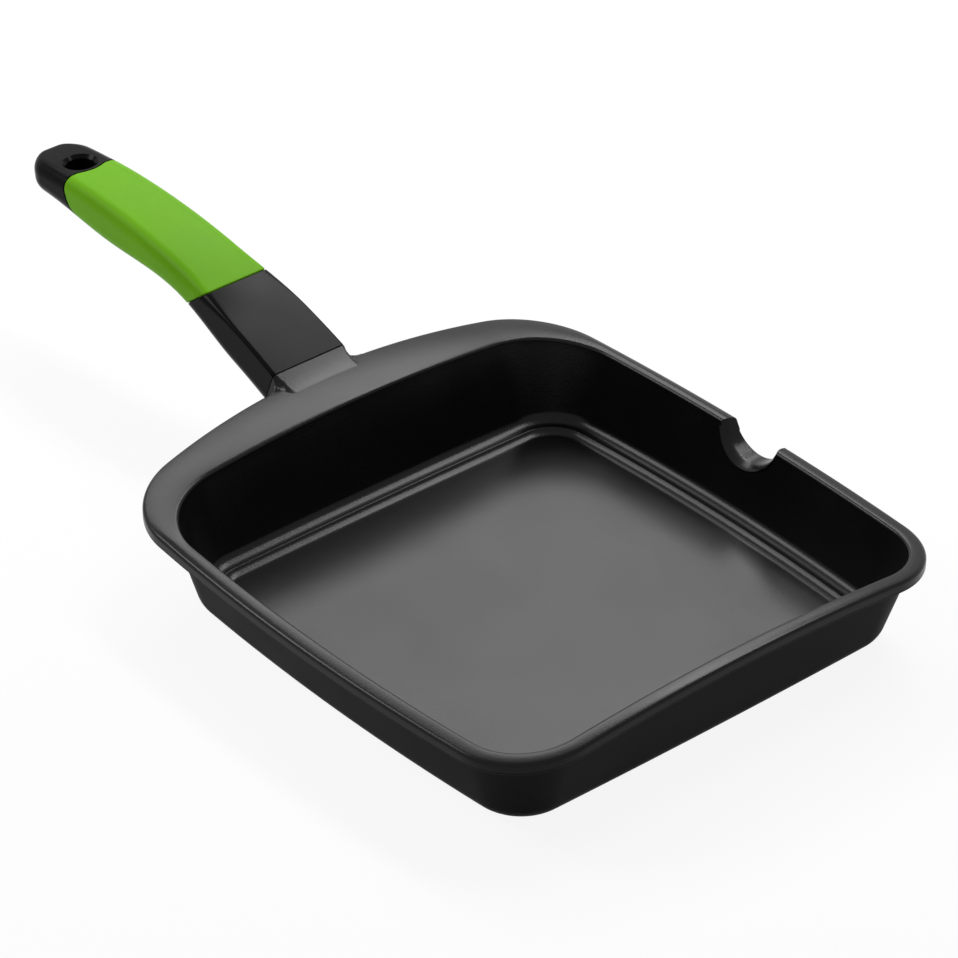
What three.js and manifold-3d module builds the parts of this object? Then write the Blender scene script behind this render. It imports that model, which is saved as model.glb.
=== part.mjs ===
// A square cast-aluminium pan: smooth stepped floor, arched rim, pour notch, and a moulded handle
// in a soft sleeve. Millimetres, +Z up. The origin is the middle of the base, on the plane it
// stands on. The handle points to -Y.
import * as THREE from 'three';
import { mergeVertices } from 'three/addons/utils/BufferGeometryUtils.js';
import Module from 'manifold-3d';

const wasm = await Module();
wasm.setup();
const deg = THREE.MathUtils.degToRad;

// Pan: the mouth between the rim's inner edges
const OPENING_WIDTH = 228.6;
const OPENING_LENGTH = 233;
const FRONT_CORNER = 28;
const BACK_CORNER = 35;
const SIDE_BOW = 1150;         // the long sides are arcs of this radius
const END_BOW = 4500;          // front and back are very nearly straight

// Pan: the rim, which arches up across the pan from the long sides to the middle of front and back
const RIM_HEIGHT_SIDE = 38.6;
const RIM_RISE = 9.6;
const RIM_WIDTH = 7.5;
const RIM_BAND = 5.8;          // height of its outer face
const RIM_COVE = 4;            // hollow fillet below that face, down to the wall
const RIM_OUTER_ROUND = 2.4;
const RIM_INNER_ROUND = 1.8;
const FLANGE_REACH = 27.5;     // how far the rim spreads behind the mouth to carry the handle
const FLANGE_BOW = 414;
const FLANGE_CORNER = 38;

// Pan: base, wall and floor
const BASE_SIZE = 198;         // flat underside, square
const BASE_FRONT_CORNER = 13.5;
const BASE_BACK_CORNER = 17;
const BASE_ROUND = 10;
const BASE_ROUND_SWEEP = deg(72);
const WALL = 4;                // measured across, not square to the slope
const FLOOR = 4.6;
const WALL_FOOT_ROUND = 5.5;
const LEDGE_WIDTH = 1;         // flat ledge round the foot of the wall
const LEDGE_HEIGHT = 2.2;      // above the floor
const LEDGE_ROUND = 0.5;
const STEP_ROUND = 5.3;        // hollow round from the ledge's edge down to the floor

// Pan: the pour notch in the left side, an arc cut down through the rim, whose band runs on below it
const NOTCH_RADIUS = 16;
const NOTCH_DEPTH = 11.2;
const NOTCH_AT = 1.4;          // along the side, from its middle towards the front
const NOTCH_ROUND = 7;         // softened edge on the inside
const NOTCH_BAND_STEP = 0.6;   // the band below the notch stands this far back from the rim's face

// Steel inlay pressed into the underside, so that the pan works on an induction hob
const INLAY_MARGIN = 13;       // in from the edge of the flat underside
const INLAY_CORNER = 14;
const INLAY_THICK = 1.2;

// Handle: its top line is one arc that leaves the pan rising and levels out near the tail
const HANDLE_LENGTH = 187.5;
const HANDLE_RADIUS = 371;
const HANDLE_RISE = deg(21.8);
const STUB_REACH = 3.4;        // the joint's top edge stands this far behind the flange
const STUB_LIFT = 4.2;         // and this far above the rim
const STUB_RAMP = 4.6;         // length of the ramp from the rim up to the joint
const STUB_FLARE = 5.5;        // fillet that widens the stub's top where it leaves the flange
const NECK_HALF_WIDTH = 19.3;
const TAIL_HALF_WIDTH = 15.1;
const NECK_THICK = 20.5;
const WAIST_THICK = 15.6;
const BELLY_THICK = 19.9;
const TAIL_THICK = 15;
const NECK_END = 26;           // stations along the top line where those thicknesses lie
const WAIST_AT = 72;
const BELLY_AT = 126;
const NECK_EDGE = 1.6;
const GRIP_EDGE = 5.5;
const UNDER_EDGE = 7;
const GRIP_CROWN = 1;
const TAIL_PLAN_ROUND = 14;
const TAIL_TOP_ROUND = 3;
const TAIL_UNDER_ROUND = 7;

// Sleeve: a soft skin set into the handle
const SLEEVE_WALL = 2.6;
const SLEEVE_FRONT = 51.5;     // front edge on the top face, and how far it leans back underneath
const SLEEVE_LEAN = 16;
const SLEEVE_FROM_HOLE = 7.6;  // rear edge on the top face, ahead of the hang hole's middle
const SLEEVE_REAR_ROUND = 16;  // arc by which it curves forward under the handle
const SLEEVE_REAR_DROP = 2;    // depth at which that arc begins

// Hang hole in the tail, with a bevelled mouth in a collar that the sleeve is scooped out for
const HOLE_FROM_END = 24.5;
const HOLE_DIAMETER = 13;
const HOLE_BEVEL = 1.6;
const HOLE_COLLAR = 1.4;       // width of the collar round the bevel

// Joint: a tongue on the pan in a socket in the neck, held by one screw from below
const TONGUE_WIDTH = 22;
const TONGUE_THICK = 8;
const TONGUE_LENGTH = 30;
const TONGUE_DEPTH = 8.5;      // its middle, below the handle's top line
const SCREW_FROM_TIP = 13;     // back from the tongue's tip
const SCREW_SHANK = 4;
const SCREW_HEAD = 8;
const SCREW_HEAD_HIGH = 2.6;
const SCREW_SEAT = 1.4;        // material between the tongue's socket and the washer's seat
const DRIVE_WIDTH = 1.1;
const DRIVE_LENGTH = 4.8;
const DRIVE_DEPTH = 1.4;
const WASHER_WIDTH = 2.15;     // widths of the rings round the screw
const WASHER_THICK = 0.8;
const SPRING_WIDTH = 1.35;
const SPRING_THICK = 1;
const SPRING_GAP = 1.2;
const INSERT_WIDTH = 0.95;
const INSERT_COVER = 1.2;      // material of the tongue left above the threaded insert
const FIT = 0.3;               // clearance between mating pieces
const BORE_FIT = 0.35;         // radial clearance round the shank
const COUNTERBORE_FIT = 1;

const WAY_OUT = 20;            // how far cutting tools run past the surfaces they cut

// Facets: round a full turn, along a rounded corner, and along a side
const TURN_STEPS = 40;
const CORNER_STEPS = 8;
const SIDE_STEPS = 8;
const EDGE_STEPS = 6;
const HANDLE_STEPS = 24;

// Solids from closed geometries, and back
const toSolid = (geometry) => {
  const bare = geometry.index ? geometry.toNonIndexed() : geometry.clone();
  bare.deleteAttribute('normal');
  bare.deleteAttribute('uv');
  const merged = mergeVertices(bare, 1e-4);
  const mesh = new wasm.Mesh({
    numProp: 3,
    vertProperties: new Float32Array(merged.attributes.position.array),
    triVerts: new Uint32Array(merged.index.array),
  });
  return new wasm.Manifold(mesh);
};

const toGeometry = (solid) => {
  const { vertProperties, triVerts } = solid.getMesh();
  const geometry = new THREE.BufferGeometry();
  geometry.setAttribute('position', new THREE.BufferAttribute(vertProperties, 3));
  geometry.setIndex(new THREE.BufferAttribute(triVerts, 1));
  const faceted = geometry.toNonIndexed();
  faceted.computeVertexNormals();
  return faceted;
};

// A closed solid through rings of equal count, each ring running anticlockwise seen from the last one
function loft(rings) {
  const count = rings[0].length;
  const index = [];
  for (let k = 0; k + 1 < rings.length; k += 1) {
    for (let i = 0; i < count; i += 1) {
      const a = k * count + i;
      const b = k * count + ((i + 1) % count);
      index.push(a, b, b + count, a, b + count, a + count);
    }
  }
  const capTriangles = (ring) => {
    const across = ring.map((p) => new THREE.Vector2(p.x, ring.flatAxis === 'y' ? p.z : p.y));
    return THREE.ShapeUtils.triangulateShape(across, []);
  };
  const last = (rings.length - 1) * count;
  capTriangles(rings[0]).forEach(([a, b, c]) => index.push(a, c, b));
  capTriangles(rings.at(-1)).forEach(([a, b, c]) => index.push(last + a, last + b, last + c));
  const geometry = new THREE.BufferGeometry();
  geometry.setFromPoints(rings.flat());
  geometry.setIndex(index);
  return toSolid(geometry);
}

// Points of an arc, without its last one
function arc(centre, radius, from, to, steps) {
  return Array.from({ length: steps }, (_, i) => {
    const angle = from + ((to - from) * i) / steps;
    return new THREE.Vector2(centre.x + radius * Math.cos(angle), centre.y + radius * Math.sin(angle));
  });
}

// Centre of a round that lies inside two circles and touches both, on the +X side
function roundCentre(first, firstRadius, second, secondRadius, round) {
  const reach = firstRadius - round;
  const otherReach = secondRadius - round;
  const apart = second.clone().sub(first);
  const distance = apart.length();
  const along = (reach ** 2 - otherReach ** 2 + distance ** 2) / (2 * distance);
  const aside = Math.sqrt(reach ** 2 - along ** 2);
  const direction = apart.divideScalar(distance);
  const square = new THREE.Vector2(-direction.y, direction.x);
  const middle = first.clone().addScaledVector(direction, along);
  const candidates = [aside, -aside].map((d) => middle.clone().addScaledVector(square, d));
  return candidates.sort((p, q) => q.x - p.x)[0];
}

// A bowed square: sides, front and back are arcs joined by corner rounds, mirrored about X = 0
function bowedSquare({ halfWidth, front, back, sideBow, frontBow, backBow, frontCorner, backCorner }) {
  const side = new THREE.Vector2(halfWidth - sideBow, 0);
  const ahead = new THREE.Vector2(0, front - frontBow);
  const behind = new THREE.Vector2(0, backBow - back);
  const frontRound = roundCentre(side, sideBow, ahead, frontBow, frontCorner);
  const backRound = roundCentre(side, sideBow, behind, backBow, backCorner);
  const heading = (from, to) => Math.atan2(to.y - from.y, to.x - from.x);
  const backTurn = heading(behind, backRound);
  const sideStart = heading(side, backRound);
  const sideEnd = heading(side, frontRound);
  const frontTurn = heading(ahead, frontRound);
  const half = [
    ...arc(behind, backBow, -Math.PI / 2, backTurn, SIDE_STEPS / 2),
    ...arc(backRound, backCorner, backTurn, sideStart, CORNER_STEPS),
    ...arc(side, sideBow, sideStart, sideEnd, SIDE_STEPS),
    ...arc(frontRound, frontCorner, sideEnd, frontTurn, CORNER_STEPS),
    ...arc(ahead, frontBow, frontTurn, Math.PI / 2, SIDE_STEPS / 2),
    new THREE.Vector2(0, front),
  ];
  const mirrored = half.slice(1, -1).reverse().map((p) => new THREE.Vector2(-p.x, p.y));
  return [...half, ...mirrored];
}

const raise = (outline, height) => outline.map((p) => new THREE.Vector3(p.x, p.y, height(p.x)));

// Rim height across the pan: an arc through the middle height and the two side heights
const rimHalfWidth = OPENING_WIDTH / 2 + RIM_WIDTH;
const rimTop = RIM_HEIGHT_SIDE + RIM_RISE;
const rimArch = (rimHalfWidth ** 2 + RIM_RISE ** 2) / (2 * RIM_RISE);
const rimHeight = (x) => rimTop - rimArch + Math.sqrt(rimArch ** 2 - x ** 2);
const rimPlus = (lift) => (x) => rimHeight(x) + lift;

// Outline of the rim with the handle flange, moved in from its outer edge
const rimOutline = (inset) => bowedSquare({
  halfWidth: rimHalfWidth - inset,
  front: OPENING_LENGTH / 2 + RIM_WIDTH - inset,
  back: OPENING_LENGTH / 2 + FLANGE_REACH - inset,
  sideBow: SIDE_BOW + RIM_WIDTH - inset,
  frontBow: END_BOW + RIM_WIDTH - inset,
  backBow: FLANGE_BOW - inset,
  frontCorner: FRONT_CORNER + RIM_WIDTH - inset,
  backCorner: FLANGE_CORNER - inset,
});

// Outline of the wall: share 0 at the top of the base round, 1 at the rim, moved in from its outer face
const footHeight = BASE_ROUND * (1 - Math.cos(BASE_ROUND_SWEEP));
const footSpread = BASE_ROUND * Math.sin(BASE_ROUND_SWEEP);
const wallOutline = (share, inset) => {
  const grow = (foot, top) => THREE.MathUtils.lerp(foot, top + WALL, share) - inset;
  const length = grow(BASE_SIZE / 2 + footSpread, OPENING_LENGTH / 2);
  return bowedSquare({
    halfWidth: grow(BASE_SIZE / 2 + footSpread, OPENING_WIDTH / 2),
    front: length,
    back: length,
    sideBow: SIDE_BOW - inset,
    frontBow: END_BOW - inset,
    backBow: END_BOW - inset,
    frontCorner: grow(BASE_FRONT_CORNER + footSpread, FRONT_CORNER),
    backCorner: grow(BASE_BACK_CORNER + footSpread, BACK_CORNER),
  });
};
const wallShare = (height) => (height - footHeight) / (RIM_HEIGHT_SIDE - footHeight);

// The base round as an inset from the foot of the wall, at an angle of its sweep
const baseRing = (angle) => {
  const inset = footSpread - BASE_ROUND * Math.sin(angle);
  return raise(wallOutline(0, inset), () => BASE_ROUND * (1 - Math.cos(angle)));
};

// Rings of the outside, upwards: base round, sloping wall, cove, and the rim band standing out over it
function outsideRings() {
  const sweep = [0, 0.25, 0.5, 0.75, 1].map((part) => baseRing(part * BASE_ROUND_SWEEP));
  const coveFoot = wallOutline(wallShare(RIM_HEIGHT_SIDE - RIM_BAND - RIM_COVE), 0);
  const bandFoot = rimOutline(RIM_OUTER_ROUND);
  const cove = [0, 30, 60, 90].map((angle) => {
    const outward = 1 - Math.cos(deg(angle));
    const drop = RIM_BAND + RIM_COVE * (1 - Math.sin(deg(angle)));
    const outline = coveFoot.map((p, i) => p.clone().lerp(bandFoot[i], outward));
    return raise(outline, rimPlus(-drop));
  });
  const roundRing = (angle) => {
    const inset = RIM_OUTER_ROUND * (1 - Math.cos(angle));
    const drop = RIM_OUTER_ROUND * (1 - Math.sin(angle));
    return raise(rimOutline(inset), rimPlus(-drop));
  };
  return [
    ...sweep,
    ...cove,
    raise(rimOutline(0), rimPlus(RIM_OUTER_ROUND - RIM_BAND)),
    ...[0, 45, 90].map((angle) => roundRing(deg(angle))),
  ];
}

// Lean of the long sides' walls, as a slope out from upright and as a tilt up from level
const wallLean = OPENING_WIDTH / 2 + WALL - BASE_SIZE / 2 - footSpread;
const wallSlope = wallLean / (RIM_HEIGHT_SIDE - footHeight);
const wallTilt = Math.PI / 2 - Math.atan(wallSlope);

// Rings of the hollow, downwards: rounded mouth, wall, its foot, the ledge, and the step to the floor
function hollowRings() {
  const ledgeTop = FLOOR + LEDGE_HEIGHT;
  const footShare = wallShare(ledgeTop + WALL_FOOT_ROUND * (1 - Math.cos(wallTilt)));
  const ledgeEdge = WALL + WALL_FOOT_ROUND * Math.sin(wallTilt) + LEDGE_WIDTH;
  const stepTilt = Math.acos(1 - LEDGE_HEIGHT / (LEDGE_ROUND + STEP_ROUND));
  const floorEdge = ledgeEdge + (LEDGE_ROUND + STEP_ROUND) * Math.sin(stepTilt);
  const mouthRing = (angle) => {
    const outward = RIM_INNER_ROUND * (1 - Math.cos(angle));
    const drop = RIM_INNER_ROUND * (1 - Math.sin(angle));
    return raise(wallOutline(1, WALL - outward), rimPlus(-drop));
  };
  const levelRing = (inset, height) => raise(wallOutline(footShare, inset), () => height);
  const footRing = (tilt) => levelRing(
    WALL + WALL_FOOT_ROUND * (Math.sin(wallTilt) - Math.sin(tilt)),
    ledgeTop + WALL_FOOT_ROUND * (1 - Math.cos(tilt)),
  );
  const edgeRing = (tilt) => levelRing(
    ledgeEdge + LEDGE_ROUND * Math.sin(tilt),
    ledgeTop - LEDGE_ROUND * (1 - Math.cos(tilt)),
  );
  const stepRing = (tilt) => levelRing(
    floorEdge - STEP_ROUND * Math.sin(tilt),
    FLOOR + STEP_ROUND * (1 - Math.cos(tilt)),
  );
  return [
    ...[90, 60, 30, 0].map((angle) => mouthRing(deg(angle))),
    ...[1, 0.75, 0.5, 0.25, 0].map((part) => footRing(part * wallTilt)),
    ...[0, 0.5].map((part) => edgeRing(part * stepTilt)),
    ...[1, 0.75, 0.5, 0.25, 0].map((part) => stepRing(part * stepTilt)),
  ];
}

// All that lies inside the middle of the wall, where the stub must not reach
function insideOfWall() {
  return loft([
    raise(wallOutline(0, WALL / 2), () => footHeight),
    raise(wallOutline(1, WALL / 2), rimPlus(0)),
    raise(wallOutline(1, WALL / 2), rimPlus(WAY_OUT)),
  ]);
}

// Pour notch: its axis runs along X, and the softened inner edge leans with the wall
const notchHeight = RIM_HEIGHT_SIDE - NOTCH_DEPTH + NOTCH_RADIUS;

function notchTool() {
  const edge = [18, 36, 54, 72, 90].map((angle) => new THREE.Vector2(
    NOTCH_RADIUS + NOTCH_ROUND * (1 - Math.sin(deg(angle))),
    NOTCH_ROUND * (1 - Math.cos(deg(angle))),
  ));
  const profile = [
    new THREE.Vector2(0, -WAY_OUT),
    new THREE.Vector2(NOTCH_RADIUS + NOTCH_ROUND, -WAY_OUT),
    new THREE.Vector2(NOTCH_RADIUS + NOTCH_ROUND, -NOTCH_ROUND / 2),
    ...edge,
    new THREE.Vector2(NOTCH_RADIUS, WAY_OUT),
    new THREE.Vector2(0, WAY_OUT),
  ];
  const tool = new THREE.LatheGeometry(profile, TURN_STEPS);
  tool.rotateZ(Math.PI / 2);
  tool.applyMatrix4(new THREE.Matrix4().makeShear(0, 0, 0, 0, -wallSlope, 0));
  const edgeAt = -OPENING_WIDTH / 2 - wallSlope * (RIM_HEIGHT_SIDE - notchHeight);
  tool.translate(edgeAt, NOTCH_AT, notchHeight);
  return toSolid(tool);
}

// The rim's band carried round below the notch
function notchBand() {
  const radius = NOTCH_RADIUS + RIM_BAND;
  const disc = new THREE.CylinderGeometry(radius, radius, WAY_OUT, TURN_STEPS);
  disc.rotateZ(Math.PI / 2);
  disc.translate(WAY_OUT / 2 - rimHalfWidth + NOTCH_BAND_STEP, NOTCH_AT, notchHeight);
  const above = new THREE.BoxGeometry(4 * radius, 4 * radius, 2 * radius);
  above.translate(-rimHalfWidth, 0, radius + RIM_HEIGHT_SIDE - RIM_BAND / 2);
  return toSolid(disc).subtract(toSolid(above)).subtract(insideOfWall());
}

// Rounded square, for the steel inlay and its seat
function inlayGeometry(grow, height) {
  const half = BASE_SIZE / 2 - INLAY_MARGIN + grow;
  const round = INLAY_CORNER + grow;
  const shape = new THREE.Shape();
  [[1, 1], [-1, 1], [-1, -1], [1, -1]].forEach(([x, y], quarter) => {
    const start = (quarter * Math.PI) / 2;
    shape.absarc(x * (half - round), y * (half - round), round, start, start + Math.PI / 2);
  });
  const sweep = { depth: height, bevelEnabled: false, curveSegments: CORNER_STEPS };
  return new THREE.ExtrudeGeometry(shape, sweep);
}

// Handle frame: origin on the joint's top edge, -Y along the handle's first stretch
const handlePlace = new THREE.Matrix4()
  .makeRotationX(-HANDLE_RISE)
  .setPosition(0, -(OPENING_LENGTH / 2 + FLANGE_REACH + STUB_REACH), rimTop + STUB_LIFT);

// A point at a station along the top line, across it, and above or below it
const onHandle = (station, x, above) => {
  const turn = station / HANDLE_RADIUS;
  const radius = HANDLE_RADIUS + above;
  return new THREE.Vector3(x, -radius * Math.sin(turn), radius * Math.cos(turn) - HANDLE_RADIUS);
};

// Values that ease from one station to the next and stay level at each
const eased = (...stops) => (station) => {
  const next = stops.findIndex(([at]) => at >= station);
  if (next === -1) return stops.at(-1)[1];
  if (next === 0) return stops[0][1];
  const [from, value] = stops[next - 1];
  const [to, target] = stops[next];
  return THREE.MathUtils.lerp(value, target, THREE.MathUtils.smoothstep(station, from, to));
};
const holeAt = HANDLE_LENGTH - HOLE_FROM_END;
const collarRadius = HOLE_DIAMETER / 2 + HOLE_BEVEL + HOLE_COLLAR;
const thickness = eased(
  [NECK_END, NECK_THICK],
  [WAIST_AT, WAIST_THICK],
  [BELLY_AT, BELLY_THICK],
  [HANDLE_LENGTH, TAIL_THICK],
);
const topEdge = eased([NECK_END, NECK_EDGE], [WAIST_AT, GRIP_EDGE]);
const crown = eased(
  [NECK_END, 0],
  [WAIST_AT, GRIP_CROWN],
  [holeAt - 2 * collarRadius, GRIP_CROWN],
  [holeAt, 0],
);

// How far a round of this size has pulled in at a station near the tail's end
const tailPull = (station, round) => {
  const past = Math.max(0, station - (HANDLE_LENGTH - round));
  return round - Math.sqrt(Math.max(0, round ** 2 - past ** 2));
};

// Half width, top and underside of the handle's section at a station
function handleSection(station, inset) {
  const taper = THREE.MathUtils.lerp(NECK_HALF_WIDTH, TAIL_HALF_WIDTH, station / HANDLE_LENGTH);
  return {
    half: taper - tailPull(station, TAIL_PLAN_ROUND) - inset,
    top: -tailPull(station, TAIL_TOP_ROUND) - inset,
    under: tailPull(station, TAIL_UNDER_ROUND) - thickness(station) + inset,
    edge: Math.max(topEdge(station) - inset, NECK_EDGE),
    underEdge: UNDER_EDGE - inset,
    crown: crown(station),
  };
}

// A ring round the handle: two under edges, two top edges and a slightly domed top between them
function sectionRing({ half, top, under, edge, underEdge, crown: dome }, place) {
  const high = (top - under) / 2;
  const topRound = Math.min(edge, high, half);
  const lowRound = Math.min(underEdge, high, half);
  const corner = (x, y, round, from) => {
    const centre = new THREE.Vector2(x * (half - round), y);
    const turn = arc(centre, round, deg(from), deg(from + 90), EDGE_STEPS);
    return turn.concat(arc(centre, round, deg(from + 90), 0, 1));
  };
  const outline = [
    ...corner(1, under + lowRound, lowRound, -90),
    ...corner(1, top - topRound, topRound, 0),
    ...[0.5, 0, -0.5].map((part) => new THREE.Vector2(part * (half - topRound), top)),
    ...corner(-1, top - topRound, topRound, 90),
    ...corner(-1, under + lowRound, lowRound, 180),
  ];
  const lift = (p) => {
    const across = Math.max(0, 1 - (p.x / half) ** 2);
    return dome * across * THREE.MathUtils.smoothstep(p.y, top - edge, top);
  };
  return outline.map((p) => place(p.x, p.y + lift(p)));
}

// The whole handle's outer form, or the same moved in by an inset
function handleForm(inset) {
  const straight = HANDLE_LENGTH - TAIL_PLAN_ROUND;
  const body = Array.from({ length: HANDLE_STEPS + 1 }, (_, i) => (straight * i) / HANDLE_STEPS);
  const tail = [18, 34, 50, 66, 80].map((angle) => straight + TAIL_PLAN_ROUND * Math.sin(deg(angle)));
  const rings = [...body, ...tail].map((station) => {
    const ring = sectionRing(handleSection(station, inset), (x, above) => onHandle(station, x, above));
    ring.flatAxis = 'y';
    return ring;
  });
  return loft(rings);
}

// Stub of the casting, ramped up to meet the neck's end: a level-bottomed block under the flange,
// and a thin flared top that runs out into the flange
function stub() {
  const neck = handleSection(0, 0);
  const flangeHeight = rimHeight(neck.half + STUB_FLARE);
  const ramp = rimTop + STUB_LIFT - flangeHeight - STUB_RAMP * Math.sin(HANDLE_RISE);
  const level = (along) => along * Math.tan(HANDLE_RISE);
  const intoWall = FLANGE_REACH + WAY_OUT;
  const onRamp = (angle) => {
    const part = angle / 90;
    return [THREE.MathUtils.lerp(FIT, STUB_RAMP, part), ramp * part, 1 - Math.cos(deg(angle))];
  };
  const stations = [
    [intoWall, ramp + RIM_BAND / 2 - level(intoWall - STUB_RAMP), 1],
    ...[90, 60, 30, 0].map(onRamp),
  ];
  const form = (flare, underside) => loft(stations.map(([along, drop, spread]) => {
    const section = {
      ...neck,
      half: neck.half + flare * spread,
      top: neck.top - drop,
      under: underside + level(along),
    };
    const ring = sectionRing(section, (x, above) => new THREE.Vector3(x, along, above));
    ring.flatAxis = 'y';
    return ring;
  }));
  return form(0, neck.under).add(form(STUB_FLARE, -STUB_LIFT - RIM_BAND));
}

// Box between two stations of the joint, round the tongue's middle
function jointBox(from, to, grow) {
  const box = new THREE.BoxGeometry(TONGUE_WIDTH + 2 * grow, to - from, TONGUE_THICK + 2 * grow);
  box.translate(0, -(from + to) / 2, -TONGUE_DEPTH);
  return toSolid(box);
}

// Round piece on the screw's axis between two heights of the handle frame
function onScrew(radius, low, high) {
  const piece = new THREE.CylinderGeometry(radius, radius, high - low, TURN_STEPS);
  piece.rotateX(Math.PI / 2);
  piece.translate(0, -screwAt, (low + high) / 2);
  return toSolid(piece);
}
const screwAt = TONGUE_LENGTH - SCREW_FROM_TIP;
const tongueUnder = -TONGUE_DEPTH - TONGUE_THICK / 2;
const insertTop = tongueUnder + TONGUE_THICK - INSERT_COVER;
const seat = tongueUnder - FIT - SCREW_SEAT;
const washerUnder = seat - FIT - WASHER_THICK;
const springUnder = washerUnder - FIT - SPRING_THICK;
const headTop = springUnder - FIT;
const headUnder = headTop - SCREW_HEAD_HIGH;
const boreRadius = SCREW_SHANK / 2 + BORE_FIT;
const insertRadius = boreRadius + INSERT_WIDTH;
const washerRadius = boreRadius + WASHER_WIDTH;
const springRadius = boreRadius + SPRING_WIDTH;

function panBody() {
  const tongue = jointBox(-STUB_RAMP, TONGUE_LENGTH, 0);
  const insertHole = onScrew(insertRadius + FIT, tongueUnder - WAY_OUT, insertTop + FIT);
  const joint = stub().add(tongue).subtract(insertHole).transform(handlePlace.elements);
  const casting = loft([...outsideRings(), ...hollowRings()]);
  const inlaySeat = inlayGeometry(FIT, INLAY_THICK + FIT + WAY_OUT).translate(0, 0, -WAY_OUT);
  return casting
    .add(joint.subtract(insideOfWall()))
    .add(notchBand())
    .subtract(notchTool())
    .subtract(toSolid(inlaySeat));
}

const tailDeep = -BELLY_THICK - WAY_OUT;
const sleeveRear = holeAt - SLEEVE_FROM_HOLE;

// Region of the sleeve seen from the side: leaning front edge, rear edge curving forward underneath,
// and clear of the hang hole's collar
function sleeveZone(gap) {
  const front = (above) => onHandle(SLEEVE_FRONT + gap - (above * SLEEVE_LEAN) / NECK_THICK, 0, above);
  const rear = (angle) => {
    const forward = SLEEVE_REAR_ROUND * (1 - Math.cos(angle));
    const down = SLEEVE_REAR_DROP + SLEEVE_REAR_ROUND * Math.sin(angle);
    return onHandle(sleeveRear - gap - forward, 0, -down);
  };
  const between = [0.2, 0.4, 0.6, 0.8].map((part) => (
    THREE.MathUtils.lerp(SLEEVE_FRONT, sleeveRear, part)
  ));
  const points = [
    front(WAY_OUT),
    ...between.map((station) => onHandle(station, 0, WAY_OUT)),
    onHandle(sleeveRear - gap, 0, WAY_OUT),
    ...[0, 15, 30, 45, 60, 75, 90].map((angle) => rear(deg(angle))),
    ...between.slice(0, -1).reverse().map((station) => onHandle(station, 0, tailDeep)),
    front(tailDeep),
  ];
  const shape = new THREE.Shape(points.map((p) => new THREE.Vector2(p.y, p.z)));
  const width = 2 * (NECK_HALF_WIDTH + WAY_OUT);
  const slab = new THREE.ExtrudeGeometry(shape, { depth: width, bevelEnabled: false });
  slab.rotateY(Math.PI / 2);
  slab.rotateX(Math.PI / 2);
  slab.translate(-width / 2, 0, 0);
  return toSolid(slab).subtract(throughTail(collarRadius + gap, [[tailDeep, 0], [WAY_OUT, 0]]));
}

// Upright round tool on the hang hole's axis, from [height, growth] levels
function throughTail(radius, levels) {
  const profile = [
    new THREE.Vector2(0, levels[0][0]),
    ...levels.map(([height, grow]) => new THREE.Vector2(radius + grow, height)),
    new THREE.Vector2(0, levels.at(-1)[0]),
  ];
  const tool = new THREE.LatheGeometry(profile, TURN_STEPS);
  tool.rotateX(Math.PI / 2 + holeAt / HANDLE_RADIUS);
  const foot = onHandle(holeAt, 0, 0);
  tool.translate(foot.x, foot.y, foot.z);
  return toSolid(tool);
}

function handleCore() {
  const socket = jointBox(-WAY_OUT, TONGUE_LENGTH + FIT, FIT);
  const bore = onScrew(boreRadius, seat - WAY_OUT, tongueUnder);
  const counterbore = onScrew(washerRadius + COUNTERBORE_FIT, seat - WAY_OUT, seat);
  const hole = throughTail(HOLE_DIAMETER / 2, [
    [tailDeep, 0],
    [-HOLE_BEVEL, 0],
    [HOLE_BEVEL, 2 * HOLE_BEVEL],
    [WAY_OUT, 2 * HOLE_BEVEL],
  ]);
  const recess = sleeveZone(0).subtract(handleForm(SLEEVE_WALL));
  const cuts = [recess, socket, bore, counterbore, hole];
  return cuts.reduce((body, cut) => body.subtract(cut), handleForm(0));
}

function gripSleeve() {
  return handleForm(0).intersect(sleeveZone(FIT)).subtract(handleForm(SLEEVE_WALL - FIT));
}

function handleScrew() {
  const head = onScrew(SCREW_HEAD / 2, headUnder, headTop);
  const shank = onScrew(SCREW_SHANK / 2, headTop - SCREW_HEAD_HIGH / 2, insertTop - FIT);
  const slots = [0, Math.PI / 2].map((turn) => {
    const slot = new THREE.BoxGeometry(DRIVE_WIDTH, DRIVE_LENGTH, 2 * DRIVE_DEPTH);
    slot.rotateZ(turn);
    slot.translate(0, -screwAt, headUnder);
    return toSolid(slot);
  });
  return head.add(shank).subtract(slots[0]).subtract(slots[1]);
}

const ringOnScrew = (radius, low, high) => {
  const bore = onScrew(boreRadius, low - WAY_OUT, high + WAY_OUT);
  return onScrew(radius, low, high).subtract(bore);
};

function springWasher() {
  const split = new THREE.BoxGeometry(springRadius, SPRING_GAP, WAY_OUT);
  split.translate(springRadius / 2 + SPRING_GAP, -screwAt, springUnder);
  return ringOnScrew(springRadius, springUnder, springUnder + SPRING_THICK).subtract(toSolid(split));
}

const named = (name, geometry, color, roughness, metalness) => {
  const material = new THREE.MeshStandardMaterial({ color, roughness, metalness });
  const mesh = new THREE.Mesh(geometry, material);
  mesh.name = name;
  return mesh;
};
const solidMesh = (name, solid, ...look) => named(name, toGeometry(solid), ...look);

const insert = ringOnScrew(insertRadius, tongueUnder, insertTop);
const flatWasher = ringOnScrew(washerRadius, washerUnder, washerUnder + WASHER_THICK);

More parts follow.
